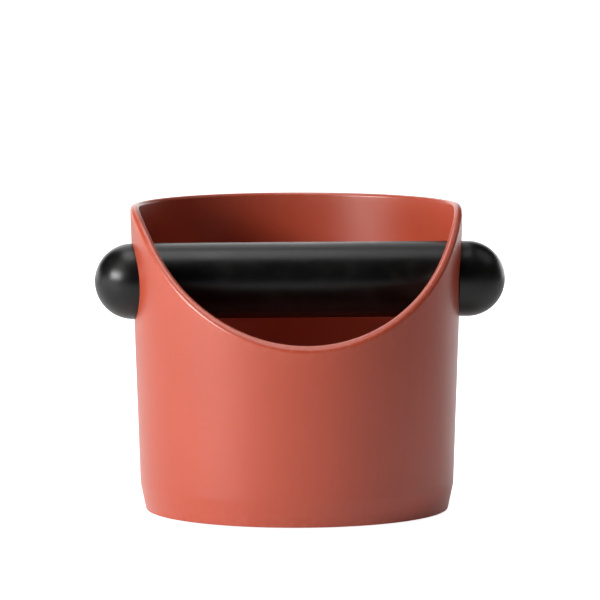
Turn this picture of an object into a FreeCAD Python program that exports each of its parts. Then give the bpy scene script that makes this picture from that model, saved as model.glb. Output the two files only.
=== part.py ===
import FreeCAD, Part
import os
import re
import Sketcher

# Espresso knock box: a moulded drum whose front is cut away on a slant, and a
# rubber-covered bar that crosses it through two round holes.
# Millimetres and degrees. The origin is on the counter at the centre of the foot
# ring; +Z is up, +X runs along the bar to the right, and the cut-away front faces -Y.

SIZES = {
    # drum: radii of the outside, and heights above the counter
    "rim_radius": 57.5,
    "rim_height": 106.0,
    "wall": 3.0,
    "base_radius": 52.4,
    "band_radius": 54.3,
    "band_height": 9.5,
    "band_blend": 12.0,
    "base_round": 0.6,
    "floor_height": 5.6,
    "floor_blend": 6.0,
    "lip_round": 1.2,
    "inner_lip_round": 0.8,
    # the slanted cut leaves the level rim through a wide bend
    "cut_slope": 44.5,
    "cut_start": 9.8,
    "cut_bend": 39.0,
    "cut_room": 20.0,
    # underside
    "recess_radius": 41.0,
    "recess_depth": 1.6,
    "gate_radius": 4.0,
    "gate_depth": 0.4,
    "gate_stub_radius": 1.0,
    # rubber foot ring in its groove
    "ring_outer": 48.5,
    "ring_inner": 43.0,
    "ring_thickness": 2.5,
    "ring_proud": 0.5,
    "tread_width": 1.9,
    "tread_depth": 0.5,
    "ring_round": 0.3,
    # bar and its holes
    "bar_radius": 13.1,
    "bar_length": 142.2,
    "bar_shift": 1.3,
    "bar_height": 79.85,
    "running_gap": 0.05,
    "hole_round": 0.5,
    "tube_radius": 8.0,
    "tube_bore": 6.5,
    "tube_chamfer": 0.4,
    "cap_collar": 4.2,
    "socket_depth": 8.0,
    "end_play": 0.2,
    "seam_round": 0.3,
}

doc = FreeCAD.newDocument("knock_box")
sheet = doc.addObject("Spreadsheet::Sheet", "sizes")
for row, (alias, value) in enumerate(SIZES.items(), start=1):
    sheet.set(f"A{row}", alias)
    sheet.set(f"B{row}", str(value))
    sheet.setAlias(f"B{row}", alias)
doc.recompute()


def bound(expression):
    """The expression with each size name pointing at its cell in the sheet."""
    def cell(match):
        return f"sizes.{match.group()}" if match.group() in SIZES else match.group()
    return re.sub(r"[a-z_]+", cell, expression)


def number(expression):
    """What an expression of size names comes to now."""
    return float(sheet.evalExpression(expression))


def new_body(name):
    body = doc.addObject("PartDesign::Body", name)
    body.Label = name
    return body


def new_sketch(body, name, plane):
    """An empty sketch on one of the body's own origin planes."""
    sketch = body.newObject("Sketcher::SketchObject", name)
    support = [f for f in body.Origin.OriginFeatures if f.Role == plane][0]
    sketch.AttachmentSupport = [(support, "")]
    sketch.MapMode = "FlatFace"
    return sketch


def place_point(sketch, geometry, end, across, up):
    """Ties one end of a sketch curve to two expressions measured from the origin."""
    for kind, expression in (("DistanceX", across), ("DistanceY", up)):
        value = number(expression)
        if abs(value) < 1e-9:
            axis = -2 if kind == "DistanceX" else -1
            sketch.addConstraint(Sketcher.Constraint("PointOnObject", geometry, end, axis))
        elif value > 0:
            index = sketch.addConstraint(
                Sketcher.Constraint(kind, -1, 1, geometry, end, value))
            sketch.setExpression(f"Constraints[{index}]", bound(expression))
        else:
            index = sketch.addConstraint(
                Sketcher.Constraint(kind, geometry, end, -1, 1, -value))
            sketch.setExpression(f"Constraints[{index}]", bound(f"-({expression})"))


def draw_outline(sketch, corners, arcs=None):
    """Draws a closed outline through corners, each a pair of expressions.

    arcs says which sides are arcs: the number of the side's first corner, and the
    arc's centre (a pair of expressions), its radius, and True if it runs clockwise.
    """
    arcs = arcs or {}
    points = [FreeCAD.Vector(number(a), number(b), 0) for a, b in corners]
    count = len(corners)
    for i in range(count):
        start = points[i]
        stop = points[(i + 1) % count]
        if i in arcs:
            centre_names, radius, clockwise = arcs[i]
            centre = FreeCAD.Vector(number(centre_names[0]), number(centre_names[1]), 0)
            first, last = (stop, start) if clockwise else (start, stop)
            circle = Part.Circle(centre, FreeCAD.Vector(0, 0, 1), number(radius))
            arc = Part.ArcOfCircle(circle, circle.parameter(first), circle.parameter(last))
            sketch.addGeometry(arc)
        else:
            sketch.addGeometry(Part.LineSegment(start, stop))

    def ends(i):
        """The end numbers at which side i starts and stops, along the outline."""
        return (2, 1) if i in arcs and arcs[i][2] else (1, 2)

    for i in range(count):
        following = (i + 1) % count
        joint = Sketcher.Constraint(
            "Coincident", i, ends(i)[1], following, ends(following)[0])
        sketch.addConstraint(joint)
    for i in range(count):
        place_point(sketch, i, ends(i)[0], *corners[i])
    for i in arcs:
        index = sketch.addConstraint(Sketcher.Constraint("Radius", i, number(arcs[i][1])))
        sketch.setExpression(f"Constraints[{index}]", bound(arcs[i][1]))


def revolve(body, name, corners, arcs=None):
    """Turns an outline (radius, height) about the body's Z axis."""
    sketch = new_sketch(body, f"{name}_outline", "XZ_Plane")
    draw_outline(sketch, corners, arcs)
    turned = body.newObject("PartDesign::Revolution", name)
    turned.Profile = sketch
    turned.ReferenceAxis = (sketch, ["V_Axis"])
    turned.Angle = 360
    doc.recompute()
    return turned


def cut_along_x(body, name, sketch):
    """Cuts the sketched outline right through the body along X, both ways."""
    before = body.Shape.Volume
    pocket = body.newObject("PartDesign::Pocket", name)
    pocket.Profile = sketch
    pocket.SideType = "Symmetric"
    pocket.setExpression("Length", bound("4 * rim_radius"))
    doc.recompute()
    if body.Shape.Volume > before - 1:
        raise RuntimeError(f"{name} cut nothing")
    return pocket


def edges_where(shape, test):
    """The names of the shape's edges whose bounding box and middle pass a test."""
    found = []
    for index, edge in enumerate(shape.Edges, start=1):
        if edge.Length > 0.01 and test(edge):
            found.append(f"Edge{index}")
    return found


def round_edges(body, name, radius, test, kind="PartDesign::Fillet"):
    """Rounds or chamfers the edges of the body's last feature that pass a test."""
    base = body.Tip
    names = edges_where(base.Shape, test)
    if not names:
        raise RuntimeError(f"{name} found no edge")
    feature = body.newObject(kind, name)
    feature.Base = (base, names)
    size_name = "Radius" if kind == "PartDesign::Fillet" else "Size"
    feature.setExpression(size_name, bound(radius))
    doc.recompute()
    return feature


def ring_edge(radius, height):
    """A test for whole circles about Z of this radius at this height."""
    wanted_radius = number(radius)
    wanted_height = number(height)

    def test(edge):
        box = edge.BoundBox
        level = abs(box.ZMax - wanted_height) < 1e-3 and box.ZLength < 1e-3
        return level and abs(box.XMax - wanted_radius) < 1e-3
    return test


# --- drum ------------------------------------------------------------------------

FOOT = "ring_proud"
UNDERSIDE = "(ring_proud + recess_depth)"
DRAFT = "((rim_radius - band_radius) / (rim_height - band_height))"
INNER_FLOOR = f"(rim_radius - wall - (rim_height - floor_height) * {DRAFT})"

# side view of the cut, as distances from the drum's axis (the front is negative)
BEND_TOP = "(cut_bend * tan(cut_slope / 2) - cut_start)"
BEND_FOOT = f"({BEND_TOP} - cut_bend * sin(cut_slope))"
BEND_FOOT_HEIGHT = "(rim_height - cut_bend + cut_bend * cos(cut_slope))"
CUT_FRONT = "(-rim_radius - cut_room)"
CUT_FRONT_HEIGHT = f"({BEND_FOOT_HEIGHT} + ({CUT_FRONT} - {BEND_FOOT}) * tan(cut_slope))"


def lip_height(y):
    """Height of the cut's profile at a distance y behind the drum's axis."""
    bend_top = number(BEND_TOP)
    bend_foot = number(BEND_FOOT)
    bend = number("cut_bend")
    if y >= bend_top:
        return number("rim_height")
    if y >= bend_foot:
        return number("rim_height") - bend + (bend ** 2 - (y - bend_top) ** 2) ** 0.5
    return number(BEND_FOOT_HEIGHT) + (y - bend_foot) * number("tan(cut_slope)")


def on_lip(inset):
    """A test for the lip's edges that lie this far inside the drum's outer skin."""
    def test(edge):
        for share in (0.25, 0.5, 0.75):
            first, last = edge.ParameterRange
            point = edge.valueAt(first + share * (last - first))
            skin = number("rim_radius") - (number("rim_height") - point.z) * number(DRAFT)
            radius = (point.x ** 2 + point.y ** 2) ** 0.5
            if abs(skin - number(inset) - radius) > 0.02:
                return False
            if abs(point.z - lip_height(point.y)) > 0.02:
                return False
        return True
    return test


def on_bar_hole(edge):
    """True for the rims of the two bar holes, inside and outside the wall."""
    first, last = edge.ParameterRange
    point = edge.valueAt((first + last) / 2)
    reach = (point.y ** 2 + (point.z - number("bar_height")) ** 2) ** 0.5
    on_wall_of_hole = abs(reach - number("bar_radius + running_gap")) < 1e-3
    return on_wall_of_hole and edge.BoundBox.YLength > 1


def make_drum():
    """The moulding: a drafted cup with a tapered foot band, cut away at the front."""
    body = new_body("drum")
    revolve(body, "cup", [
        ("0", UNDERSIDE),
        ("gate_stub_radius", UNDERSIDE),
        ("gate_stub_radius", f"{UNDERSIDE} + gate_depth"),
        ("gate_radius", f"{UNDERSIDE} + gate_depth"),
        ("gate_radius", UNDERSIDE),
        ("recess_radius", UNDERSIDE),
        ("recess_radius", FOOT),
        ("ring_inner", FOOT),
        ("ring_inner", "ring_thickness"),
        ("ring_outer", "ring_thickness"),
        ("ring_outer", FOOT),
        ("base_radius", FOOT),
        ("band_radius", "band_height"),
        ("rim_radius", "rim_height"),
        ("rim_radius - wall", "rim_height"),
        (INNER_FLOOR, "floor_height"),
        ("0", "floor_height"),
    ])
    round_edges(body, "floor_corner", "floor_blend", ring_edge(INNER_FLOOR, "floor_height"))
    round_edges(body, "band_corner", "band_blend", ring_edge("band_radius", "band_height"))
    round_edges(body, "base_edge", "base_round", ring_edge("base_radius", FOOT))

    cut = new_sketch(body, "slanted_cut_outline", "YZ_Plane")
    draw_outline(cut, [
        (BEND_TOP, "rim_height"),
        (BEND_FOOT, BEND_FOOT_HEIGHT),
        (CUT_FRONT, CUT_FRONT_HEIGHT),
        (CUT_FRONT, "rim_height + cut_room"),
        (BEND_TOP, "rim_height + cut_room"),
    ], arcs={0: ((BEND_TOP, "rim_height - cut_bend"), "cut_bend", False)})
    cut_along_x(body, "slanted_cut", cut)

    hole = new_sketch(body, "bar_hole_outline", "YZ_Plane")
    centre = FreeCAD.Vector(0, number("bar_height"), 0)
    hole_radius = "bar_radius + running_gap"
    hole.addGeometry(Part.Circle(centre, FreeCAD.Vector(0, 0, 1), number(hole_radius)))
    place_point(hole, 0, 3, "0", "bar_height")
    index = hole.addConstraint(Sketcher.Constraint("Radius", 0, number(hole_radius)))
    hole.setExpression(f"Constraints[{index}]", bound(hole_radius))
    cut_along_x(body, "bar_holes", hole)

    round_edges(body, "hole_edges", "hole_round", on_bar_hole)
    round_edges(body, "outer_lip", "lip_round", on_lip("0"))
    round_edges(body, "inner_lip", "inner_lip_round", on_lip("wall"))
    return body


def make_foot_ring():
    """A rubber ring with two treads, seated in the groove under the drum."""
    body = new_body("foot_ring")
    revolve(body, "ring", [
        ("ring_inner", "0"),
        ("ring_inner + tread_width", "0"),
        ("ring_inner + tread_width", "tread_depth"),
        ("ring_outer - tread_width", "tread_depth"),
        ("ring_outer - tread_width", "0"),
        ("ring_outer", "0"),
        ("ring_outer", "ring_thickness"),
        ("ring_inner", "ring_thickness"),
    ])
    round_edges(body, "outer_tread", "ring_round", ring_edge("ring_outer", "0"))
    round_edges(body, "inner_tread", "ring_round", ring_edge("ring_inner", "0"))
    return body


# --- bar -------------------------------------------------------------------------
# Each bar piece is turned about its own Z axis and then laid along X.

SLEEVE_END = "(bar_length / 2 - bar_radius - cap_collar)"
TUBE_END = f"({SLEEVE_END} + socket_depth - end_play)"


def lay_along_x(body, start, side):
    """Lays a turned piece on the bar's axis: its Z points to +X (side 1) or -X (-1)."""
    turn = FreeCAD.Rotation(FreeCAD.Vector(0, 1, 0), 90 * side)
    body.Placement = FreeCAD.Placement(FreeCAD.Vector(0, 0, 0), turn)
    body.setExpression("Placement.Base.x", bound(f"bar_shift + {side} * {start}"))
    body.setExpression("Placement.Base.z", bound("bar_height"))
    doc.recompute()


def make_bar_core():
    """The steel tube inside the rubber, which carries the blow to the drum's wall."""
    body = new_body("bar_core")
    revolve(body, "tube", [
        ("tube_bore", f"-{TUBE_END}"),
        ("tube_radius", f"-{TUBE_END}"),
        ("tube_radius", TUBE_END),
        ("tube_bore", TUBE_END),
    ])
    for name, height in (("far_end", TUBE_END), ("near_end", f"-{TUBE_END}")):
        round_edges(body, name, "tube_chamfer", ring_edge("tube_radius", height),
                    kind="PartDesign::Chamfer")
    lay_along_x(body, "0", 1)
    return body


def make_bar_sleeve():
    """The thick rubber tube that the portafilter is knocked on."""
    body = new_body("bar_sleeve")
    revolve(body, "sleeve", [
        ("tube_radius + running_gap", f"-{SLEEVE_END}"),
        ("bar_radius", f"-{SLEEVE_END}"),
        ("bar_radius", SLEEVE_END),
        ("tube_radius + running_gap", SLEEVE_END),
    ])
    for name, height in (("far_seam", SLEEVE_END), ("near_seam", f"-{SLEEVE_END}")):
        round_edges(body, name, "seam_round", ring_edge("bar_radius", height))
    lay_along_x(body, "0", 1)
    return body


def make_bar_end(name, side):
    """A domed rubber cap, with a blind socket that goes over the tube's end."""
    body = new_body(name)
    dome = (("0", "cap_collar"), "bar_radius", False)
    revolve(body, "cap", [
        ("0", "socket_depth"),
        ("tube_radius + running_gap", "socket_depth"),
        ("tube_radius + running_gap", "0"),
        ("bar_radius", "0"),
        ("bar_radius", "cap_collar"),
        ("0", "cap_collar + bar_radius"),
    ], arcs={4: dome})
    round_edges(body, "seam", "seam_round", ring_edge("bar_radius", "0"))
    lay_along_x(body, SLEEVE_END, side)
    return body


# --- the whole box ---------------------------------------------------------------

parts = [
    make_drum(),
    make_foot_ring(),
    make_bar_core(),
    make_bar_sleeve(),
    make_bar_end("bar_end_left", -1),
    make_bar_end("bar_end_right", 1),
]
doc.recompute()

for feature in doc.Objects:
    if "Invalid" in feature.State or "Error" in feature.State:
        raise RuntimeError(f"{feature.Label} failed: {feature.State}")
for part in parts:
    if part.Shape.isNull() or not part.Shape.isValid() or len(part.Shape.Solids) != 1:
        raise RuntimeError(f"{part.Label} is not one valid solid")

os.makedirs("parts", exist_ok=True)
for part in parts:
    part.Shape.exportStep(f"parts/{part.Label}.step")
    box = part.Shape.optimalBoundingBox(False)
    print(f"{part.Label}: {part.Shape.Volume / 1000:.2f} cm3, "
          f"x {box.XMin:.2f} to {box.XMax:.2f}, y {box.YMin:.2f} to {box.YMax:.2f}, "
          f"z {box.ZMin:.2f} to {box.ZMax:.2f}")
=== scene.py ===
"""Espresso knock box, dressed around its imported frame.

A moulded drum with a slanted mouth stands on a rubber foot ring. A steel tube under a
thick rubber sleeve crosses the drum through two round holes and ends in two rubber caps.

Metres and radians. +Z is up, +X runs along the bar to the right, the mouth faces -Y,
and the origin is on the counter under the middle of the drum.
"""

import logging
import math
from dataclasses import dataclass, field
from enum import Enum
from typing import Any, Callable, Iterable, Sequence

import bmesh
import bpy
from mathutils import Matrix, Vector


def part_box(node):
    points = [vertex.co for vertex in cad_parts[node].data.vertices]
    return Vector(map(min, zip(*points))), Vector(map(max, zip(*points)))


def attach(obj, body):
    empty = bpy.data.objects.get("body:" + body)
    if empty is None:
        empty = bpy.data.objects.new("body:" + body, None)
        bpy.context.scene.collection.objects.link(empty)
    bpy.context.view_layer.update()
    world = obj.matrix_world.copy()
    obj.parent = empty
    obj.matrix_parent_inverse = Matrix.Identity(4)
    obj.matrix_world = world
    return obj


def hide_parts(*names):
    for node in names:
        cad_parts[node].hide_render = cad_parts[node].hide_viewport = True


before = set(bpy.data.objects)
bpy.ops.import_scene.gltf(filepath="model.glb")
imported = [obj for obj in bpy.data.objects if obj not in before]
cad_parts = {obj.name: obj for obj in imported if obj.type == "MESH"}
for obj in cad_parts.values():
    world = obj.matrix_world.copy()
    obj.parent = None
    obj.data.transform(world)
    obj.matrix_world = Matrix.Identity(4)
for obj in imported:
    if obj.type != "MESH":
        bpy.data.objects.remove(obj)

MM = 0.001
UP = Vector((0.0, 0.0, 1.0))
ALONG_BAR = Vector((1.0, 0.0, 0.0))

# nearer to a spindle than this, a point lies on it
ON_SPINDLE = 1e-9
# nearly all of a noise texture's values lie between these
NOISE_LOW, NOISE_HIGH = 0.2, 0.8

Row = list[bmesh.types.BMVert]
Outline = list[tuple[float, float]]

log = logging.getLogger("knock_box")


class Body(Enum):
    """The bodies that move apart from each other."""

    DRUM = "drum"
    CORE = "bar_core"
    RUBBER = "bar_rubber"


class Slot(Enum):
    """The finishes that the record names."""

    DRUM = "drum_plastic"
    FOOT = "foot_rubber"
    CORE = "core_steel"
    BAR = "bar_rubber"


# --- small geometry helpers ----------------------------------------------------------


def rounded_corner(
    corner: Vector, first: Vector, second: Vector, radius: float, steps: int
) -> list[Vector]:
    """Rounds the corner where two faces meet.

    Args:
        corner: the sharp corner.
        first: the unit normal, out of the material, of the face that comes first.
        second: the same for the face that comes next.
        radius: the rounding's radius.
        steps: how many flats stand for the arc.

    Returns:
        The arc's points, from the first face to the second.
    """
    reach = radius / (1 + first.dot(second))
    centre = corner - (first + second) * reach
    return [centre + radius * first.slerp(second, i / steps) for i in range(steps + 1)]


def rounded_outline(corners: Sequence[tuple[float, float, float]], steps: int) -> Outline:
    """Rounds the inner corners of an open outline.

    Args:
        corners: two coordinates and a rounding radius for each corner.
        steps: how many flats stand for each rounding.

    Returns:
        The outline's points, with its first and last corner kept sharp.
    """
    points: Outline = [corners[0][:2]]
    for before, (across, along, radius), after in zip(corners, corners[1:], corners[2:]):
        corner = Vector((across, along))
        to_start = (Vector(before[:2]) - corner).normalized()
        to_end = (Vector(after[:2]) - corner).normalized()
        half_turn = to_start.angle(-to_end) / 2
        reach = radius * math.tan(half_turn)
        middle = (to_start + to_end).normalized() * radius / math.cos(half_turn)
        first = (to_start * reach - middle).normalized()
        last = (to_end * reach - middle).normalized()
        for i in range(steps + 1):
            points.append(tuple(corner + middle + radius * first.slerp(last, i / steps)))
    points.append(corners[-1][:2])
    return points


def spread(first: float, last: float, count: int) -> list[float]:
    """Even steps strictly between two values."""
    return [first + (last - first) * i / (count + 1) for i in range(1, count + 1)]


@dataclass(frozen=True)
class Spindle:
    """The axis that a turned piece is made about."""

    origin: Vector
    direction: Vector
    start: Vector

    def point(self, radius: float, along: float, turn: float) -> Vector:
        """Finds a point by its place about the axis.

        Args:
            radius: how far it is from the axis.
            along: how far it is along the axis.
            turn: its turn about the axis, from the start direction.

        Returns:
            The point.
        """
        side = self.direction.cross(self.start)
        spoke = self.start * math.cos(turn) + side * math.sin(turn)
        return self.origin + self.direction * along + spoke * radius


class Skin:
    """A mesh under construction: rows of points joined by bands of quads."""

    def __init__(self, name: str) -> None:
        """Starts an empty mesh for the piece of that name."""
        self.name = name
        self.mesh = bmesh.new()

    def row(self, points: Iterable[Vector]) -> Row:
        """Adds a row of points."""
        return [self.mesh.verts.new(point) for point in points]

    def band(self, first: Row, second: Row) -> None:
        """Joins two closed rows of equal length with quads.

        Args:
            first: the row on one side.
            second: the row on the other.
        """
        for i in range(len(first)):
            following = (i + 1) % len(first)
            corners = (first[i], first[following], second[following], second[i])
            self.mesh.faces.new(corners)

    def fan(self, rim: Row, middle: Vector) -> None:
        """Closes a row of points with a fan.

        Args:
            rim: the row.
            middle: where the fan's flats meet.
        """
        hub = self.mesh.verts.new(middle)
        for i in range(len(rim)):
            self.mesh.faces.new((rim[i], rim[(i + 1) % len(rim)], hub))

    def turn(self, outline: Outline, spindle: Spindle, facets: int) -> None:
        """Turns an outline about a spindle.

        Args:
            outline: pairs of radius and distance along the spindle. An end at radius 0
                is closed with a fan, and an outline with no such end is a closed ring.
            spindle: the axis.
            facets: how many flats go round.
        """
        turns = [math.tau * i / facets for i in range(facets)]
        ends = [radius < ON_SPINDLE for radius, _ in (outline[0], outline[-1])]
        body = outline[ends[0] : len(outline) - ends[1]]
        rows = [self.row(spindle.point(*place, turn) for turn in turns) for place in body]
        for first, second in zip(rows, rows[1:]):
            self.band(first, second)
        if ends[0]:
            self.fan(rows[0], spindle.point(*outline[0], 0))
        if ends[1]:
            self.fan(rows[-1], spindle.point(*outline[-1], 0))
        if not any(ends):
            self.band(rows[-1], rows[0])

    def wear(self, amount: Callable[[Vector], float]) -> None:
        """Stores a value at each point, for the finish to read: wear, which the drum's finish also
        uses for a painted edge highlight.

        Args:
            amount: gives the wear at a point, from 0 to 1.
        """
        layer = self.mesh.verts.layers.float.new("wear")
        for vert in self.mesh.verts:
            vert[layer] = amount(vert.co)

    def piece(self) -> bpy.types.Object:
        """Turns the rows into a smooth piece with no loose points.

        Returns:
            The object, linked to the scene.
        """
        loose = [vert for vert in self.mesh.verts if not vert.link_faces]
        bmesh.ops.delete(self.mesh, geom=loose, context="VERTS")
        bmesh.ops.recalc_face_normals(self.mesh, faces=self.mesh.faces)
        for face in self.mesh.faces:
            face.smooth = True
        data = bpy.data.meshes.new(self.name)
        self.mesh.to_mesh(data)
        self.mesh.free()
        made = bpy.data.objects.new(self.name, data)
        bpy.context.scene.collection.objects.link(made)
        flats = made.modifiers.new("flats_lead", "WEIGHTED_NORMAL")
        flats.mode = "FACE_AREA"
        return made


# --- finishes ------------------------------------------------------------------------


def linear(colour: str) -> tuple[float, float, float, float]:
    """Turns an sRGB colour to the linear one that a shader takes.

    Args:
        colour: the colour as # and six hex digits.

    Returns:
        Linear red, green, blue and an alpha of 1.
    """
    channels = [int(colour[i : i + 2], 16) / 255 for i in (1, 3, 5)]
    values = [c / 12.92 if c <= 0.04045 else ((c + 0.055) / 1.055) ** 2.4 for c in channels]
    return (values[0], values[1], values[2], 1.0)


def per_metre(size: float) -> float:
    """A texture's scale for a pattern whose marks are this many metres apart."""
    return 1 / size


def add_node(
    tree: bpy.types.NodeTree, kind: str, sockets: dict[str | int, Any], **settings: Any
) -> bpy.types.Node:
    """Adds a node to a tree.

    Args:
        tree: the node tree.
        kind: the node's type, without its ShaderNode prefix.
        sockets: inputs by name or number, each a value, or a node or output to link.
        settings: properties of the node, set before its inputs.

    Returns:
        The new node.
    """
    node = tree.nodes.new(f"ShaderNode{kind}")
    for name, value in settings.items():
        setattr(node, name, value)
    for name, value in sockets.items():
        named = [i for i in node.inputs if i.enabled and i.name == name]
        socket = named[0] if named else node.inputs[name]
        if isinstance(value, bpy.types.Node):
            value = [output for output in value.outputs if output.enabled][0]
        if isinstance(value, bpy.types.NodeSocket):
            tree.links.new(value, socket)
        else:
            socket.default_value = value
    return node


@dataclass(frozen=True)
class Finish:
    """What every finish shares: a name, a colour and how rough its surface is."""

    name: str
    colour: str
    roughness: float

    def material(self) -> bpy.types.Material:
        """Makes the material, or finds it if a piece has it already.

        Returns:
            The material.
        """
        known = bpy.data.materials.get(self.name)
        if known:
            return known
        made = bpy.data.materials.new(self.name)
        made.use_nodes = True
        tree = made.node_tree
        tree.nodes.clear()
        place = add_node(tree, "TexCoord", {}).outputs["Object"]
        add_node(tree, "OutputMaterial", {"Surface": self.draw(tree, place)})
        return made

    def draw(self, tree: bpy.types.NodeTree, place: bpy.types.NodeSocket) -> bpy.types.Node:
        """Draws the finish from each point's place, in metres, and gives its shader."""
        raise NotImplementedError


@dataclass(frozen=True)
class MouldedAbs(Finish):
    """ABS, injection moulded in a satin spark-eroded tool.

    It gives an even terracotta colour. The tool's texture gives a soft highlight inside a
    broader haze, whitish where the skin is seen edge on, and where the melt flowed and
    cooled it left a faint unevenness.
    """

    # the pale pink of rubbed edges is also the colour of the lit lip face, so these edges carry
    # wear and a painted highlight
    colour_lean: str = "#B44931"
    rubbed_colour: str = "#DE9684"
    flow_size: float = 42 * MM
    sink_size: float = 18 * MM
    sink_depth: float = 0.05 * MM
    spark_size: float = 0.35 * MM
    spark_depth: float = 0.004 * MM
    scuff_size: float = 2.2 * MM
    scuff_detail: float = 6.0
    scuff_low: float = 0.42
    scuff_high: float = 0.62
    rub_and_highlight_strength: float = 0.09
    smear: float = 0.025
    ior: float = 1.53
    haze: float = 0.24
    haze_roughness: float = 0.5

    def draw(self, tree: bpy.types.NodeTree, place: bpy.types.NodeSocket) -> bpy.types.Node:
        """Draws flow marks, edges paled by wear and by a painted highlight, finger smears, sink
        marks and tool texture.

        Args:
            tree: the material's node tree.
            place: where each point is on the piece, in metres.

        Returns:
            The shader.
        """
        flow = add_node(tree, "TexNoise", {"Vector": place, "Scale": per_metre(self.flow_size)})
        flowed = add_node(
            tree,
            "MapRange",
            {"Value": flow, "From Min": NOISE_LOW, "From Max": NOISE_HIGH},
            interpolation_type="SMOOTHSTEP",
        )
        base = add_node(
            tree,
            "Mix",
            {"Factor": flowed, "A": linear(self.colour), "B": linear(self.colour_lean)},
            data_type="RGBA",
        )
        # scuffs, paled towards the lit lip colour as wear and a painted highlight, show only where
        # the wear stored on the mesh is high: lip, holes and foot
        wear_and_painted_highlight = add_node(tree, "Attribute", {}, attribute_name="wear").outputs["Fac"]
        scuff = add_node(
            tree,
            "TexNoise",
            {
                "Vector": place,
                "Scale": per_metre(self.scuff_size),
                "Detail": self.scuff_detail,
            },
        )
        marks = add_node(
            tree,
            "MapRange",
            {"Value": scuff, "From Min": self.scuff_low, "From Max": self.scuff_high},
        )
        rub_and_painted_highlight = add_node(tree, "Math", {0: wear_and_painted_highlight, 1: marks}, operation="MULTIPLY")
        faint = add_node(tree, "Math", {0: rub_and_painted_highlight, 1: self.rub_and_highlight_strength}, operation="MULTIPLY")
        colour = add_node(
            tree,
            "Mix",
            {"Factor": faint, "A": base, "B": linear(self.rubbed_colour)},
            data_type="RGBA",
        )
        sink = add_node(tree, "TexNoise", {"Vector": place, "Scale": per_metre(self.sink_size)})
        rough = add_node(
            tree,
            "MapRange",
            {
                "Value": sink,
                "From Min": NOISE_LOW,
                "From Max": NOISE_HIGH,
                "To Min": self.roughness - self.smear,
                "To Max": self.roughness + self.smear,
            },
            interpolation_type="SMOOTHSTEP",
        )
        # the tool's 0.1 mm texture is drawn over three times coarser, so that it shows
        spark = add_node(tree, "TexNoise", {"Vector": place, "Scale": per_metre(self.spark_size)})
        waves = add_node(tree, "Bump", {"Height": sink, "Distance": self.sink_depth})
        grain = add_node(
            tree, "Bump", {"Height": spark, "Distance": self.spark_depth, "Normal": waves}
        )
        return add_node(
            tree,
            "BsdfPrincipled",
            {
                "Base Color": colour,
                "Roughness": rough,
                "Normal": grain,
                "IOR": self.ior,
                "Coat Weight": self.haze,
                "Coat Roughness": self.haze_roughness,
            },
        )


@dataclass(frozen=True)
class MouldedRubber(Finish):
    """Nitrile rubber, compression moulded and lightly tumbled.

    It gives a near-black skin with a dull grey highlight, a fine grain and a trace of
    pale bloom and dust.
    """

    bloom: str = "#34322F"
    dust_size: float = 7 * MM
    dust_detail: float = 8.0
    dust_low: float = 0.4
    dust_high: float = 0.8
    dust_cover: float = 0.18
    patch_size: float = 14 * MM
    grain_size: float = 0.5 * MM
    grain_depth: float = 0.008 * MM
    smear: float = 0.045
    ior: float = 1.42

    def draw(self, tree: bpy.types.NodeTree, place: bpy.types.NodeSocket) -> bpy.types.Node:
        """Draws the bloom, the handled patches and the grain.

        Args:
            tree: the material's node tree.
            place: where each point is on the piece, in metres.

        Returns:
            The shader.
        """
        dust = add_node(
            tree,
            "TexNoise",
            {
                "Vector": place,
                "Scale": per_metre(self.dust_size),
                "Detail": self.dust_detail,
            },
        )
        faint = add_node(
            tree,
            "MapRange",
            {
                "Value": dust,
                "From Min": self.dust_low,
                "From Max": self.dust_high,
                "To Max": self.dust_cover,
            },
            interpolation_type="SMOOTHSTEP",
        )
        colour = add_node(
            tree,
            "Mix",
            {"Factor": faint, "A": linear(self.colour), "B": linear(self.bloom)},
            data_type="RGBA",
        )
        patches = add_node(tree, "TexNoise", {"Vector": place, "Scale": per_metre(self.patch_size)})
        rough = add_node(
            tree,
            "MapRange",
            {
                "Value": patches,
                "From Min": NOISE_LOW,
                "From Max": NOISE_HIGH,
                "To Min": self.roughness - self.smear,
                "To Max": self.roughness + self.smear,
            },
            interpolation_type="SMOOTHSTEP",
        )
        # the skin's 0.1 mm grain is drawn five times coarser, so that it shows
        pores = add_node(tree, "TexNoise", {"Vector": place, "Scale": per_metre(self.grain_size)})
        grain = add_node(tree, "Bump", {"Height": pores, "Distance": self.grain_depth})
        return add_node(
            tree,
            "BsdfPrincipled",
            {"Base Color": colour, "Roughness": rough, "Normal": grain, "IOR": self.ior},
        )


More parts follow.
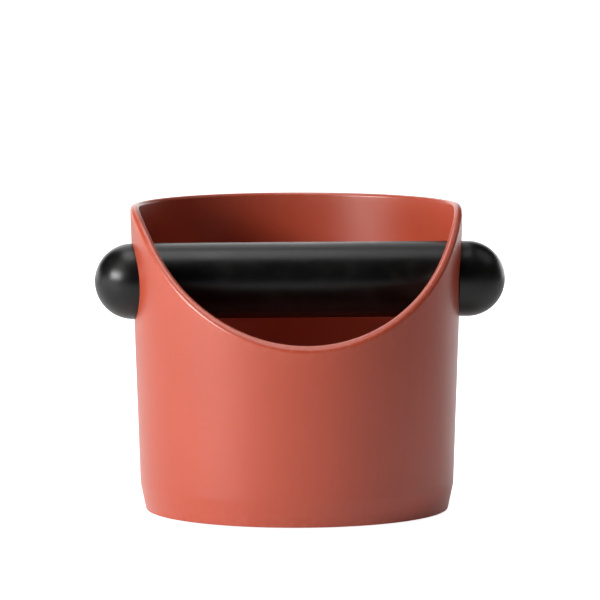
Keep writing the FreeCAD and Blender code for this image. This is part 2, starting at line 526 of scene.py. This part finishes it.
@dataclass(frozen=True)
class GroundSteel(Finish):
    """Stainless steel tube, centreless ground.

    It gives a grey metal shine broken by fine rings round the tube, with duller rubs
    where the rubber has been pushed on.
    """

    rubbed_colour: str = "#8E8C88"
    ring_size: float = 0.25 * MM
    ring_length: float = 16 * MM
    ring_depth: float = 0.004 * MM
    ring_detail: float = 4.0
    ring_low: float = 0.3
    ring_high: float = 0.7
    rub_size: float = 9 * MM
    rub_detail: float = 6.0
    smear: float = 0.08
    anisotropy: float = 0.5

    def draw(self, tree: bpy.types.NodeTree, place: bpy.types.NodeSocket) -> bpy.types.Node:
        """Draws the rubs and the grinding rings.

        Args:
            tree: the material's node tree.
            place: where each point is on the piece, in metres.

        Returns:
            The shader.
        """
        rubs = add_node(
            tree,
            "TexNoise",
            {"Vector": place, "Scale": per_metre(self.rub_size), "Detail": self.rub_detail},
        )
        colour = add_node(
            tree,
            "Mix",
            {"Factor": rubs, "A": linear(self.colour), "B": linear(self.rubbed_colour)},
            data_type="RGBA",
        )
        # long round the tube and close along it; the grit's 0.05 mm lines are drawn five
        # times coarser, so that they show
        long_way = per_metre(self.ring_length)
        squeezed = add_node(
            tree,
            "Mapping",
            {"Vector": place, "Scale": (per_metre(self.ring_size), long_way, long_way)},
        )
        rings = add_node(
            tree, "TexNoise", {"Vector": squeezed, "Scale": 1.0, "Detail": self.ring_detail}
        )
        rough = add_node(
            tree,
            "MapRange",
            {
                "Value": rings,
                "From Min": self.ring_low,
                "From Max": self.ring_high,
                "To Min": self.roughness - self.smear,
                "To Max": self.roughness + self.smear,
            },
        )
        lines = add_node(tree, "Bump", {"Height": rings, "Distance": self.ring_depth})
        return add_node(
            tree,
            "BsdfPrincipled",
            {
                "Base Color": colour,
                "Roughness": rough,
                "Normal": lines,
                "Metallic": 1.0,
                "Anisotropic": self.anisotropy,
            },
        )


@dataclass(frozen=True)
class PaintedBoard(Finish):
    """A white board, roller painted and lit from around until it looks plain white."""

    glow: float = 0.98
    bounce: float = 0.1
    roller_size: float = 3 * MM
    roller_depth: float = 0.01 * MM

    def draw(self, tree: bpy.types.NodeTree, place: bpy.types.NodeSocket) -> bpy.types.Node:
        """Draws a pale surface with a trace of roller texture.

        Args:
            tree: the material's node tree.
            place: where each point is on the piece, in metres.

        Returns:
            The shader.
        """
        roller = add_node(tree, "TexNoise", {"Vector": place, "Scale": per_metre(self.roller_size)})
        texture = add_node(tree, "Bump", {"Height": roller, "Distance": self.roller_depth})
        seen = add_node(tree, "LightPath", {}).outputs["Is Camera Ray"]
        glow = add_node(
            tree, "MapRange", {"Value": seen, "To Min": self.bounce, "To Max": self.glow}
        )
        return add_node(
            tree,
            "BsdfPrincipled",
            {
                "Base Color": linear(self.colour),
                "Roughness": self.roughness,
                "Normal": texture,
                "Emission Color": linear(self.colour),
                "Emission Strength": glow,
            },
        )


ABS = MouldedAbs("abs_satin_moulded", "#AE452D", 0.305)
BAR_RUBBER = MouldedRubber("nitrile_rubber_satin", "#080808", 0.33)
FOOT_RUBBER = MouldedRubber("nitrile_rubber_matt", "#141313", 0.62)
STEEL = GroundSteel("stainless_steel_ground", "#A9A7A3", 0.38)
BOARD = PaintedBoard("white_painted_board", "#FAFAFA", 0.6)


def fit(piece: bpy.types.Object, node: str, body: Body, finish: Finish) -> None:
    """Puts a finished piece in place of its node, on its body.

    Args:
        piece: the piece.
        node: the plain node that it stands for.
        body: the body that it moves with.
        finish: what it is made of.
    """
    piece.data.materials.append(finish.material())
    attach(piece, body.value)
    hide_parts(node)
    log.info("%s: %d faces, %s", piece.name, len(piece.data.polygons), finish.name)


# --- drum ----------------------------------------------------------------------------


@dataclass
class Drum:
    """The moulded drum: a drafted cup on a tapered foot band, cut away at the front."""

    rim_radius: float = 57.5 * MM
    rim_height: float = 106 * MM
    wall: float = 3 * MM
    band_radius: float = 54.3 * MM
    band_height: float = 9.5 * MM
    band_blend: float = 12 * MM
    base_radius: float = 52.4 * MM
    base_round: float = 0.6 * MM
    base_height: float = 0.5 * MM
    floor_height: float = 5.6 * MM
    floor_blend: float = 6 * MM
    recess_radius: float = 41 * MM
    recess_height: float = 2.1 * MM
    groove_inner: float = 43 * MM
    groove_outer: float = 48.5 * MM
    groove_height: float = 2.5 * MM
    gate_radius: float = 4 * MM
    gate_height: float = 2.5 * MM
    stub_radius: float = 1 * MM
    crisp: float = 0.15 * MM

    cut_slope: float = math.radians(44.5)
    cut_bend: float = 39 * MM
    cut_start: float = 9.8 * MM
    outer_lip: float = 1.6 * MM
    inner_lip: float = 1.2 * MM
    # where the cut meets the wall at a sharp angle, the inner rounding is no longer than this
    inner_reach: float = 1.9 * MM

    hole_height: float = 79.85 * MM
    hole_radius: float = 13.15 * MM
    hole_round: float = 0.5 * MM
    wear_reach: float = 1.5 * MM

    columns: int = 240
    wall_rows: int = 46
    # each bar hole's window in the skin: columns to either side, and its share of the rows
    window_reach: int = 11
    window_rows: tuple[float, float] = (0.55, 0.905)
    # how far each ring lies from the window's border towards the hole's edge
    rung_shares: tuple[float, ...] = (0.25, 0.5, 0.75, 0.92)
    cut_rows: int = 2
    bore_rows: int = 2
    corner_steps: int = 6
    inner_lip_steps: int = 8
    underside_steps: int = 4
    floor_steps: int = 10
    settle_rounds: int = 12

    @property
    def draft(self) -> float:
        """How much the wall spreads for each metre of height."""
        return (self.rim_radius - self.band_radius) / (self.rim_height - self.band_height)

    @property
    def bend_top(self) -> float:
        """Where the cut's wide bend leaves the level rim, behind the axis."""
        return self.cut_bend * math.tan(self.cut_slope / 2) - self.cut_start

    @property
    def bend_foot(self) -> float:
        """Where the bend runs out into the straight slant."""
        return self.bend_top - self.cut_bend * math.sin(self.cut_slope)

    def radius(self, height: float, inset: float) -> float:
        """The wall's radius at a height, on the skin that lies this far inside."""
        return self.band_radius + self.draft * (height - self.band_height) - inset

    def lip_height(self, back: float) -> float:
        """Finds the height of the cut.

        Args:
            back: the distance behind the drum's axis.

        Returns:
            The height there: on the slant, the bend or the level rim.
        """
        level = self.rim_height - self.cut_bend
        if back >= self.bend_top:
            return self.rim_height
        if back >= self.bend_foot:
            return level + math.sqrt(self.cut_bend**2 - (back - self.bend_top) ** 2)
        foot = level + self.cut_bend * math.cos(self.cut_slope)
        return foot + (back - self.bend_foot) * math.tan(self.cut_slope)

    def lip_normal(self, back: float) -> Vector:
        """Finds the way that the cut's face looks.

        Args:
            back: the distance behind the drum's axis.

        Returns:
            The unit normal, out of the plastic.
        """
        if back >= self.bend_top:
            return UP.copy()
        lean = self.cut_slope
        if back >= self.bend_foot:
            lean = math.asin((self.bend_top - back) / self.cut_bend)
        return Vector((0, -math.sin(lean), math.cos(lean)))

    def skin_normal(self, point: Vector, inset: float) -> Vector:
        """The way that the wall looks at a point, out of the plastic."""
        outward = Vector((point.x, point.y, 0)).normalized() - UP * self.draft
        return outward.normalized() * (-1 if inset else 1)

    def lip_corner(self, turn: float, inset: float) -> Vector:
        """Finds the sharp corner between the wall and the cut.

        The wall's radius depends on the height and the cut's height on the radius, so
        each is worked out from the other until they settle.

        Args:
            turn: the turn from the front.
            inset: how far inside the outer skin the wall is taken.

        Returns:
            The corner.
        """
        height = self.rim_height
        for _ in range(self.settle_rounds):
            radius = self.radius(height, inset)
            height = self.lip_height(-radius * math.cos(turn))
        return Vector((radius * math.sin(turn), -radius * math.cos(turn), height))

    def lip_section(self, turn: float) -> list[Vector]:
        """Draws the lip from the outer skin to the inner: rounding, cut face, rounding.

        Args:
            turn: the turn from the front.

        Returns:
            The points across the lip.
        """
        outer = self.lip_corner(turn, 0)
        inner = self.lip_corner(turn, self.wall)
        skin, cut = self.skin_normal(outer, 0), self.lip_normal(outer.y)
        near = rounded_corner(outer, skin, cut, self.outer_lip, self.corner_steps)
        cut, skin = self.lip_normal(inner.y), self.skin_normal(inner, self.wall)
        radius = min(self.inner_lip, self.inner_reach / math.tan(cut.angle(skin) / 2))
        far = rounded_corner(inner, cut, skin, radius, self.inner_lip_steps)
        face = []
        for share in spread(0, 1, self.cut_rows):
            point = near[-1].lerp(far[0], share)
            point.z = self.lip_height(point.y)
            face.append(point)
        return near + face + far

    def wall_strip(self, start: Vector, stop: Vector, inset: float) -> list[Vector]:
        """Draws a strip of the wall between two points.

        Args:
            start: the point before the strip.
            stop: the point after it.
            inset: how far inside the outer skin the strip lies.

        Returns:
            Evenly spaced points, without the two ends.
        """
        first = math.atan2(start.x, -start.y) % math.tau
        last = math.atan2(stop.x, -stop.y) % math.tau
        last += math.tau * round((first - last) / math.tau)
        strip = []
        for share in spread(0, 1, self.wall_rows):
            turn = first + (last - first) * share
            height = start.z + (stop.z - start.z) * share
            radius = self.radius(height, inset)
            strip.append(Vector((radius * math.sin(turn), -radius * math.cos(turn), height)))
        return strip

    def underside(self) -> Outline:
        """Draws the underside from its middle to the top of the foot band.

        Returns:
            Pairs of radius and height.
        """
        above_band = 2 * self.band_height
        return rounded_outline([
            (0, self.recess_height, 0),
            (self.stub_radius, self.recess_height, self.crisp),
            (self.stub_radius, self.gate_height, self.crisp),
            (self.gate_radius, self.gate_height, self.crisp),
            (self.gate_radius, self.recess_height, self.crisp),
            (self.recess_radius, self.recess_height, self.crisp),
            (self.recess_radius, self.base_height, self.crisp),
            (self.groove_inner, self.base_height, self.crisp),
            (self.groove_inner, self.groove_height, self.crisp),
            (self.groove_outer, self.groove_height, self.crisp),
            (self.groove_outer, self.base_height, self.crisp),
            (self.base_radius, self.base_height, self.base_round),
            (self.band_radius, self.band_height, self.band_blend),
            (self.radius(above_band, 0), above_band, 0),
        ], self.underside_steps)[:-1]

    def floor(self) -> Outline:
        """Draws the inside from the foot of the wall to the floor's middle.

        Returns:
            Pairs of radius and height.
        """
        corner = self.radius(self.floor_height, self.wall)
        above_blend = 3 * self.floor_height
        return rounded_outline([
            (self.radius(above_blend, self.wall), above_blend, 0),
            (corner, self.floor_height, self.floor_blend),
            (0, self.floor_height, 0),
        ], self.floor_steps)[1:]

    def column(self, turn: float) -> list[Vector]:
        """Draws one strip of the skin: underside, outer wall, lip, inner wall, floor.

        Args:
            turn: the turn from the front.

        Returns:
            The strip's points.
        """
        spindle = Spindle(Vector(), UP, Vector((math.sin(turn), -math.cos(turn), 0)))
        below = [spindle.point(*place, 0) for place in self.underside()[1:]]
        above = [spindle.point(*place, 0) for place in self.floor()[:-1]]
        lip = self.lip_section(turn)
        outside = self.wall_strip(below[-1], lip[0], 0)
        inside = self.wall_strip(lip[-1], above[0], self.wall)
        return below + outside + lip + inside + above

    def wall_point(self, side: int, back: float, height: float, inset: float) -> Vector:
        """The wall's point on one side at a distance behind the axis and a height."""
        across = math.sqrt(self.radius(height, inset) ** 2 - back**2)
        return Vector((side * across, back, height))

    def hole_strand(self, side: int, angle: float) -> list[Vector]:
        """Draws a line through a bar hole: rounded edge, bore, rounded edge.

        Args:
            side: 1 for the right wall, -1 for the left.
            angle: the turn about the bar, from the drum's back.

        Returns:
            The line's points, from outside to inside.
        """
        spoke = Vector((0, math.cos(angle), math.sin(angle)))
        back = spoke.y * self.hole_radius
        height = self.hole_height + spoke.z * self.hole_radius
        outer = self.wall_point(side, back, height, 0)
        inner = self.wall_point(side, back, height, self.wall)
        outside, inside = self.skin_normal(outer, 0), self.skin_normal(inner, self.wall)
        near = rounded_corner(outer, outside, -spoke, self.hole_round, self.corner_steps)
        far = rounded_corner(inner, -spoke, inside, self.hole_round, self.corner_steps)
        bore = [near[-1].lerp(far[0], share) for share in spread(0, 1, self.bore_rows)]
        return near + bore + far

    def hole_rungs(
        self, side: int, border: Row, edge: list[Vector], inset: float
    ) -> list[list[Vector]]:
        """Draws rings on the wall that turn a window's border into a hole's edge.

        Args:
            side: 1 for the right wall, -1 for the left.
            border: the window's border.
            edge: the hole's edge, with a point for each of the border's.
            inset: how far inside the outer skin the window lies.

        Returns:
            The rings, from the border inwards.
        """
        rungs = []
        for share in self.rung_shares:
            ring = []
            for vert, point in zip(border, edge):
                place = vert.co.lerp(point, share)
                ring.append(self.wall_point(side, place.y, place.z, inset))
            rungs.append(ring)
        return rungs

    def window_border(self, grid: list[Row], across: range, along: range) -> Row:
        """Finds the points round a window of the grid, in order.

        Args:
            grid: the skin's points by column and row.
            across: the window's columns.
            along: the window's rows.

        Returns:
            The border's points.
        """
        near, far = across[0], across[-1]
        low, high = along[0], along[-1]
        return (
            [grid[c][low] for c in across[:-1]]
            + [grid[far][r] for r in along[:-1]]
            + [grid[c][high] for c in reversed(across[1:])]
            + [grid[near][r] for r in reversed(along[1:])]
        )

    def bore_hole(self, skin: Skin, side: int, outer: Row, inner: Row) -> None:
        """Joins the two windows in the wall by a round hole with rounded edges.

        Args:
            skin: the drum's skin.
            side: 1 for the right wall, -1 for the left.
            outer: the border of the window in the outer skin.
            inner: the border of the window in the inner skin.
        """
        angles = [math.atan2(v.co.z - self.hole_height, v.co.y) for v in outer]
        strands = [self.hole_strand(side, angle) for angle in angles]
        bore = [[strand[i] for strand in strands] for i in range(len(strands[0]))]
        outside = self.hole_rungs(side, outer, bore[0], 0)
        inside = self.hole_rungs(side, inner, bore[-1], self.wall)
        rows = [skin.row(ring) for ring in outside + bore + inside[::-1]]
        rows = [outer] + rows + [inner]
        for first, second in zip(rows, rows[1:]):
            skin.band(first, second)

    def wear_and_painted_highlight(self, point: Vector) -> float:
        """Judges where the drum's skin pales: most at its edges and its foot, for wear and a
        painted edge highlight.

        Args:
            point: a point of the skin.

        Returns:
            The wear and painted highlight, from 0 to 1.
        """
        from_lip = abs(self.lip_height(point.y) - point.z) * math.cos(self.cut_slope)
        from_foot = point.z - self.base_height
        reach = math.hypot(point.y, point.z - self.hole_height) - self.hole_radius
        from_hole = abs(reach) if abs(point.x) > self.rim_radius / 2 else self.rim_radius
        nearest = min(from_lip, from_foot, from_hole)
        return math.exp(-nearest / self.wear_reach)

    def build(self) -> bpy.types.Object:
        """Builds the drum's skin.

        Returns:
            The piece.
        """
        skin = Skin("drum_shell")
        turns = [math.tau * i / self.columns for i in range(self.columns)]
        grid = [skin.row(self.column(turn)) for turn in turns]
        below = len(self.underside()) - 1
        above = below + self.wall_rows + len(self.lip_section(0))
        first, last = (round(share * self.wall_rows) for share in self.window_rows)
        outside = range(below + first, below + last + 1)
        mirror = above + self.wall_rows - 1
        inside = range(mirror - first, mirror - last - 1, -1)
        windows = set()
        # the columns run from the front by way of the right, a quarter of them to each side
        for side, quarter in ((1, 1), (-1, 3)):
            middle = quarter * self.columns // 4
            across = range(middle - self.window_reach, middle + self.window_reach + 1)
            for along in (outside, inside):
                cells = range(min(along), max(along))
                windows.update((c, r) for c in across[:-1] for r in cells)
            outer = self.window_border(grid, across, outside)
            inner = self.window_border(grid, across, inside)
            self.bore_hole(skin, side, outer, inner)
        for c, column in enumerate(grid):
            following = grid[(c + 1) % self.columns]
            for r in range(len(column) - 1):
                if (c, r) not in windows:
                    corners = (column[r], following[r], following[r + 1], column[r + 1])
                    skin.mesh.faces.new(corners)
        skin.fan([column[0] for column in grid], UP * self.recess_height)
        skin.fan([column[-1] for column in grid], UP * self.floor_height)
        skin.wear(self.wear_and_painted_highlight)
        return skin.piece()

    def dress(self) -> None:
        """Builds the drum and gives it its finish."""
        fit(self.build(), "drum", Body.DRUM, ABS)


@dataclass
class FootRing:
    """The rubber ring pressed into the groove under the drum."""

    inner: float = 43 * MM
    tread_width: float = 1.9 * MM
    tread_depth: float = 0.5 * MM
    edge_round: float = 0.3 * MM
    corner_steps: int = 3
    facets: int = 180

    def dress(self) -> None:
        """Turns the ring with its two treads and gives it its finish."""
        low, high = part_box("foot_ring")
        outer = high.x
        top = high.z
        tread = low.z + self.tread_depth
        mid = (self.inner + outer) / 2
        outline = rounded_outline([
            (mid, top, 0),
            (self.inner, top, self.edge_round),
            (self.inner, low.z, self.edge_round),
            (self.inner + self.tread_width, low.z, self.edge_round / 2),
            (self.inner + self.tread_width, tread, self.edge_round / 2),
            (outer - self.tread_width, tread, self.edge_round / 2),
            (outer - self.tread_width, low.z, self.edge_round / 2),
            (outer, low.z, self.edge_round),
            (outer, top, self.edge_round),
            (mid, top, 0),
        ], self.corner_steps)[:-1]
        skin = Skin("foot_ring_rubber")
        spindle = Spindle(Vector(), UP, -Vector((0, 1, 0)))
        skin.turn(outline, spindle, self.facets)
        fit(skin.piece(), "foot_ring", Body.DRUM, FOOT_RUBBER)


# --- bar -----------------------------------------------------------------------------


@dataclass
class Bar:
    """The knock bar: a steel tube, the thick rubber sleeve on it, and two domed caps."""

    tube_bore: float = 6.5 * MM
    tube_chamfer: float = 0.4 * MM
    running_gap: float = 0.05 * MM
    seam_round: float = 0.3 * MM
    socket_depth: float = 8 * MM
    facets: int = 120
    core_rows: int = 24
    sleeve_rows: int = 60
    sleeve_bore_rows: int = 40
    sleeve_steps: int = 5
    socket_steps: int = 4
    collar_rows: int = 3
    dome_rows: int = 28

    radius: float = field(init=False)
    height: float = field(init=False)
    sleeve: tuple[float, float] = field(init=False)
    tube_radius: float = field(init=False)
    tube: tuple[float, float] = field(init=False)
    socket_radius: float = field(init=False)

    def __post_init__(self) -> None:
        """Reads the bar's own sizes from the frame."""
        low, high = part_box("bar_sleeve")
        self.radius = (high.z - low.z) / 2
        self.height = (high.z + low.z) / 2
        self.sleeve = (low.x, high.x)
        low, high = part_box("bar_core")
        self.tube_radius = (high.z - low.z) / 2
        self.tube = (low.x, high.x)
        self.socket_radius = self.tube_radius + self.running_gap

    def spindle(self, start: float, side: int) -> Spindle:
        """The bar's axis from a place along it, pointing to one side."""
        return Spindle(Vector((start, 0, self.height)), ALONG_BAR * side, UP)

    def rows_along(self, radius: float, start: float, stop: float, count: int) -> Outline:
        """Even rows along a straight stretch of the bar."""
        return [(radius, along) for along in spread(start, stop, count)]

    def core(self) -> bpy.types.Object:
        """Turns the steel tube with chamfered ends.

        Returns:
            The piece.
        """
        length = self.tube[1] - self.tube[0]
        edge = self.tube_chamfer
        outline = [(self.tube_bore, 0.0), (self.tube_radius - edge, 0.0), (self.tube_radius, edge)]
        outline += self.rows_along(self.tube_radius, edge, length - edge, self.core_rows)
        outline += [(self.tube_radius, length - edge), (self.tube_radius - edge, length)]
        outline += [(self.tube_bore, length)]
        outline += self.rows_along(self.tube_bore, length, 0, self.core_rows)
        skin = Skin("bar_core_tube")
        skin.turn(outline, self.spindle(self.tube[0], 1), self.facets)
        return skin.piece()

    def sleeve_tube(self) -> bpy.types.Object:
        """Turns the rubber sleeve with softened ends.

        Returns:
            The piece.
        """
        length = self.sleeve[1] - self.sleeve[0]
        ends = rounded_outline([
            (self.socket_radius, 0, 0),
            (self.radius, 0, self.seam_round),
            (self.radius, length, self.seam_round),
            (self.socket_radius, length, 0),
        ], self.sleeve_steps)
        half, near, far = len(ends) // 2, self.seam_round, length - self.seam_round
        outline = ends[:half]
        outline += self.rows_along(self.radius, near, far, self.sleeve_rows)
        outline += ends[half:]
        outline += self.rows_along(self.socket_radius, length, 0, self.sleeve_bore_rows)
        skin = Skin("bar_sleeve_rubber")
        skin.turn(outline, self.spindle(self.sleeve[0], 1), self.facets)
        return skin.piece()

    def end_cap(self, name: str, start: float, side: int, length: float) -> bpy.types.Object:
        """A domed cap with a blind socket.

        Args:
            name: the piece's name.
            start: where the cap meets the sleeve.
            side: 1 for the right cap, -1 for the left.
            length: from the seam to the dome's tip.

        Returns:
            The piece.
        """
        collar = length - self.radius
        seam = rounded_outline([
            (0, self.socket_depth, 0),
            (self.socket_radius, self.socket_depth, self.seam_round),
            (self.socket_radius, 0, self.seam_round / 2),
            (self.radius, 0, self.seam_round),
            (self.radius, collar, 0),
        ], self.socket_steps)
        outline = seam[:-1]
        outline += self.rows_along(self.radius, self.seam_round, collar, self.collar_rows)
        for row in range(self.dome_rows):
            angle = math.pi / 2 * row / self.dome_rows
            outline.append((self.radius * math.cos(angle), collar + self.radius * math.sin(angle)))
        outline.append((0, length))
        skin = Skin(name)
        skin.turn(outline, self.spindle(start, side), self.facets)
        return skin.piece()

    def dress(self) -> None:
        """Builds the bar's four pieces and gives them their finishes."""
        fit(self.core(), "bar_core", Body.CORE, STEEL)
        fit(self.sleeve_tube(), "bar_sleeve", Body.RUBBER, BAR_RUBBER)
        for node, side in (("bar_end_left", -1), ("bar_end_right", 1)):
            low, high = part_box(node)
            start = self.sleeve[1] if side > 0 else self.sleeve[0]
            piece = self.end_cap(f"{node}_cap", start, side, high.x - low.x)
            fit(piece, node, Body.RUBBER, BAR_RUBBER)


# --- studio --------------------------------------------------------------------------


@dataclass(frozen=True)
class Softbox:
    """A soft rectangular light that faces the object: degrees, metres and watts."""

    name: str
    azimuth: float
    elevation: float
    distance: float
    width: float
    height: float
    power: float

    def place(self, target: Vector) -> None:
        """Sets the light up.

        Args:
            target: the point that it is aimed at.
        """
        data = bpy.data.lights.new(self.name, "AREA")
        data.shape = "RECTANGLE"
        data.size = self.width
        data.size_y = self.height
        data.energy = self.power
        lamp = bpy.data.objects.new(self.name, data)
        back = look_from(self.azimuth, self.elevation)
        lamp.location = target + back * self.distance
        lamp.rotation_mode = "QUATERNION"
        lamp.rotation_quaternion = back.to_track_quat("Z", "Y")
        lamp.visible_camera = False
        bpy.context.scene.collection.objects.link(lamp)


def look_from(azimuth: float, elevation: float) -> Vector:
    """Finds the direction from the object to a place round it.

    Args:
        azimuth: degrees round from the front, to the right.
        elevation: degrees up.

    Returns:
        The unit direction.
    """
    turn, rise = math.radians(azimuth), math.radians(elevation)
    flat = math.cos(rise)
    return Vector((math.sin(turn) * flat, -math.cos(turn) * flat, math.sin(rise)))


@dataclass
class Studio:
    """A pale floor, soft lights and the camera."""

    floor_size: float = 12.0
    camera_azimuth: float = -4.302
    camera_elevation: float = 5.438
    camera_roll: float = -0.095
    camera_distance: float = 1.8
    # what the camera faces: how far across from the drum's axis, and how high
    camera_target: tuple[float, float] = (1.152 * MM, 72.81 * MM)
    lens: float = 312.1
    sensor: float = 36.0
    camera_reach: float = 50.0
    # the bright sheet behind the object, and the +Y parts of a direction where it fades in
    backdrop: float = 2.0
    backdrop_edge: float = 0.8
    backdrop_full: float = 0.98
    white: str = "#FFFFFF"
    softboxes: tuple[Softbox, ...] = (
        Softbox("key_softbox", -60, 19, 1.2, 0.60, 0.28, 14.6),
        Softbox("key_upper_sheet", -58, 48, 1.2, 0.60, 0.50, 0.9),
        Softbox("side_panel", -90, 3, 1.2, 1.00, 0.24, 1.2),
        Softbox("left_panel", -138, 4, 1.4, 0.80, 0.30, 1.1),
        Softbox("right_edge_panel", 142, 6, 1.4, 0.80, 0.40, 2.3),
        Softbox("high_right_softbox", 95, 50, 1.3, 0.80, 0.80, 1.3),
        Softbox("high_back_sheet", -172, 46, 1.4, 0.70, 0.95, 2.6),
        Softbox("overhead_softbox", -90, 82, 1.0, 0.60, 0.50, 3.9),
    )

    def floor(self) -> None:
        """A wide board under the object."""
        bpy.ops.mesh.primitive_plane_add(size=self.floor_size)
        board = bpy.context.object
        board.name = "floor_board"
        board.data.materials.append(BOARD.material())

    def world(self) -> None:
        """A white surround to the camera, and a dimmer one for the light it gives."""
        world = bpy.data.worlds.new("white_surround")
        world.use_nodes = True
        tree = world.node_tree
        tree.nodes.clear()
        seen = add_node(tree, "LightPath", {}).outputs["Is Camera Ray"]
        white = add_node(tree, "Background", {"Strength": 1.0})
        direction = add_node(tree, "TexCoord", {}).outputs["Generated"]
        behind = add_node(tree, "SeparateXYZ", {0: direction}).outputs["Y"]
        sheet = add_node(
            tree,
            "MapRange",
            {
                "Value": behind,
                "From Min": self.backdrop_edge,
                "From Max": self.backdrop_full,
                "To Max": self.backdrop,
            },
            interpolation_type="SMOOTHSTEP",
        )
        fill = add_node(tree, "Background", {"Strength": sheet})
        for background in (white, fill):
            background.inputs["Color"].default_value = linear(self.white)
        both = add_node(tree, "MixShader", {0: seen, 1: fill, 2: white})
        add_node(tree, "OutputWorld", {"Surface": both})
        bpy.context.scene.world = world

    def camera(self) -> None:
        """A long lens at the front, a little to the left and above."""
        data = bpy.data.cameras.new("camera")
        data.lens = self.lens
        data.sensor_width = self.sensor
        data.clip_end = self.camera_reach
        made = bpy.data.objects.new("camera", data)
        back = look_from(self.camera_azimuth, self.camera_elevation)
        level = (-back).cross(UP).normalized()
        upright = level.cross(-back)
        roll = math.radians(self.camera_roll)
        right = level * math.cos(roll) + upright * math.sin(roll)
        above = upright * math.cos(roll) - level * math.sin(roll)
        offset, height = self.camera_target
        made.matrix_world = Matrix((right, above, back)).transposed().to_4x4()
        made.location = level * offset + UP * height + back * self.camera_distance
        bpy.context.scene.collection.objects.link(made)
        bpy.context.scene.camera = made

    def set_up(self) -> None:
        """Sets up the whole studio."""
        self.camera()
        self.floor()
        self.world()
        middle = (Vector(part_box("drum")[0]) + Vector(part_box("drum")[1])) / 2
        for softbox in self.softboxes:
            softbox.place(middle)
            log.info("%s: %.1f W", softbox.name, softbox.power)
        bpy.context.scene.view_settings.view_transform = "Standard"


def main() -> None:
    """Builds the knock box and its studio."""
    logging.basicConfig(level=logging.INFO, format="%(name)s: %(message)s")
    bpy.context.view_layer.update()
    Studio().set_up()
    Drum().dress()
    FootRing().dress()
    Bar().dress()
    bpy.context.view_layer.update()


if __name__ == "__main__":
    main()
